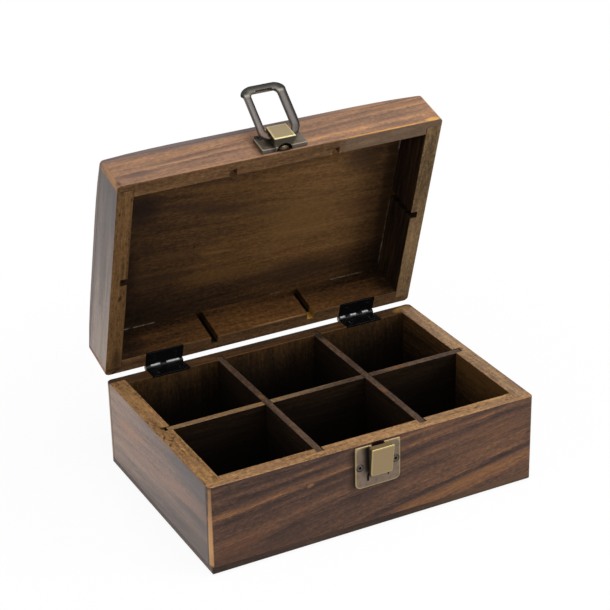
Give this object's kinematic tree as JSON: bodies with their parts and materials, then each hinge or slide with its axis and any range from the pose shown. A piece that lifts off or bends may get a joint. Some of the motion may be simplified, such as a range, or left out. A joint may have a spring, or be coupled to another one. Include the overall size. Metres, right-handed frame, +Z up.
{
  "type": "tea bag organizer box",
  "caption": "Wooden tea box with divided compartments, a hinged crowned lid and a swinging bail latch.",
  "frame": {"origin": "centre of the base's underside", "axes": "+X along the box to the right as seen from the latch side, +Y from the latch side to the hinge side, +Z up"},
  "size_m": [0.23, 0.1945, 0.2488],
  "materials": {
    "stained_wood": "dark stained, satin",
    "lid_wood": "brown stained, satin",
    "divider_wood": "thinly stained, dull",
    "antique_brass": "aged, with rubbed bright edges",
    "dark_bronze": "dark aged bronze",
    "spring_brass": "satin",
    "black_metal": "gloss black",
    "steel_pin": "dull"
  },
  "bodies": {
    "base": {"base_front_panel": "stained_wood", "base_back_panel": "stained_wood", "base_left_panel": "stained_wood", "base_right_panel": "stained_wood", "base_bottom_panel": "stained_wood", "long_divider": "divider_wood", "cross_divider_left": "divider_wood", "cross_divider_right": "divider_wood", "hinge_left_base_leaf": "black_metal", "hinge_left_pin": "steel_pin", "hinge_right_base_leaf": "black_metal", "hinge_right_pin": "steel_pin", "base_hinge_screws": "black_metal", "catch_plate": "antique_brass", "catch_screws": "dark_bronze"},
    "lid": {"lid_front_panel": "lid_wood", "lid_back_panel": "lid_wood", "lid_left_panel": "lid_wood", "lid_right_panel": "lid_wood", "lid_top_panel": "lid_wood", "hinge_left_lid_leaf": "black_metal", "hinge_right_lid_leaf": "black_metal", "lid_hinge_screws": "black_metal", "latch_plate": "antique_brass", "latch_screws": "dark_bronze", "latch_spring": "spring_brass"},
    "bail": {"latch_bail": "dark_bronze"}
  },
  "joints": [
    {"name": "lid_hinge", "type": "hinge", "parent": "base", "child": "lid", "pos_m": [0, 0.0802, 0.06255], "axis": [-1, 0, 0], "range_deg": [-73.5, 106.5]},
    {"name": "bail_swing", "type": "hinge", "parent": "lid", "child": "bail", "pos_m": [-0.0003, 0.04246, 0.22252], "axis": [1, 0, 0], "range_deg": [-25.5, 158.5]}
  ]
}
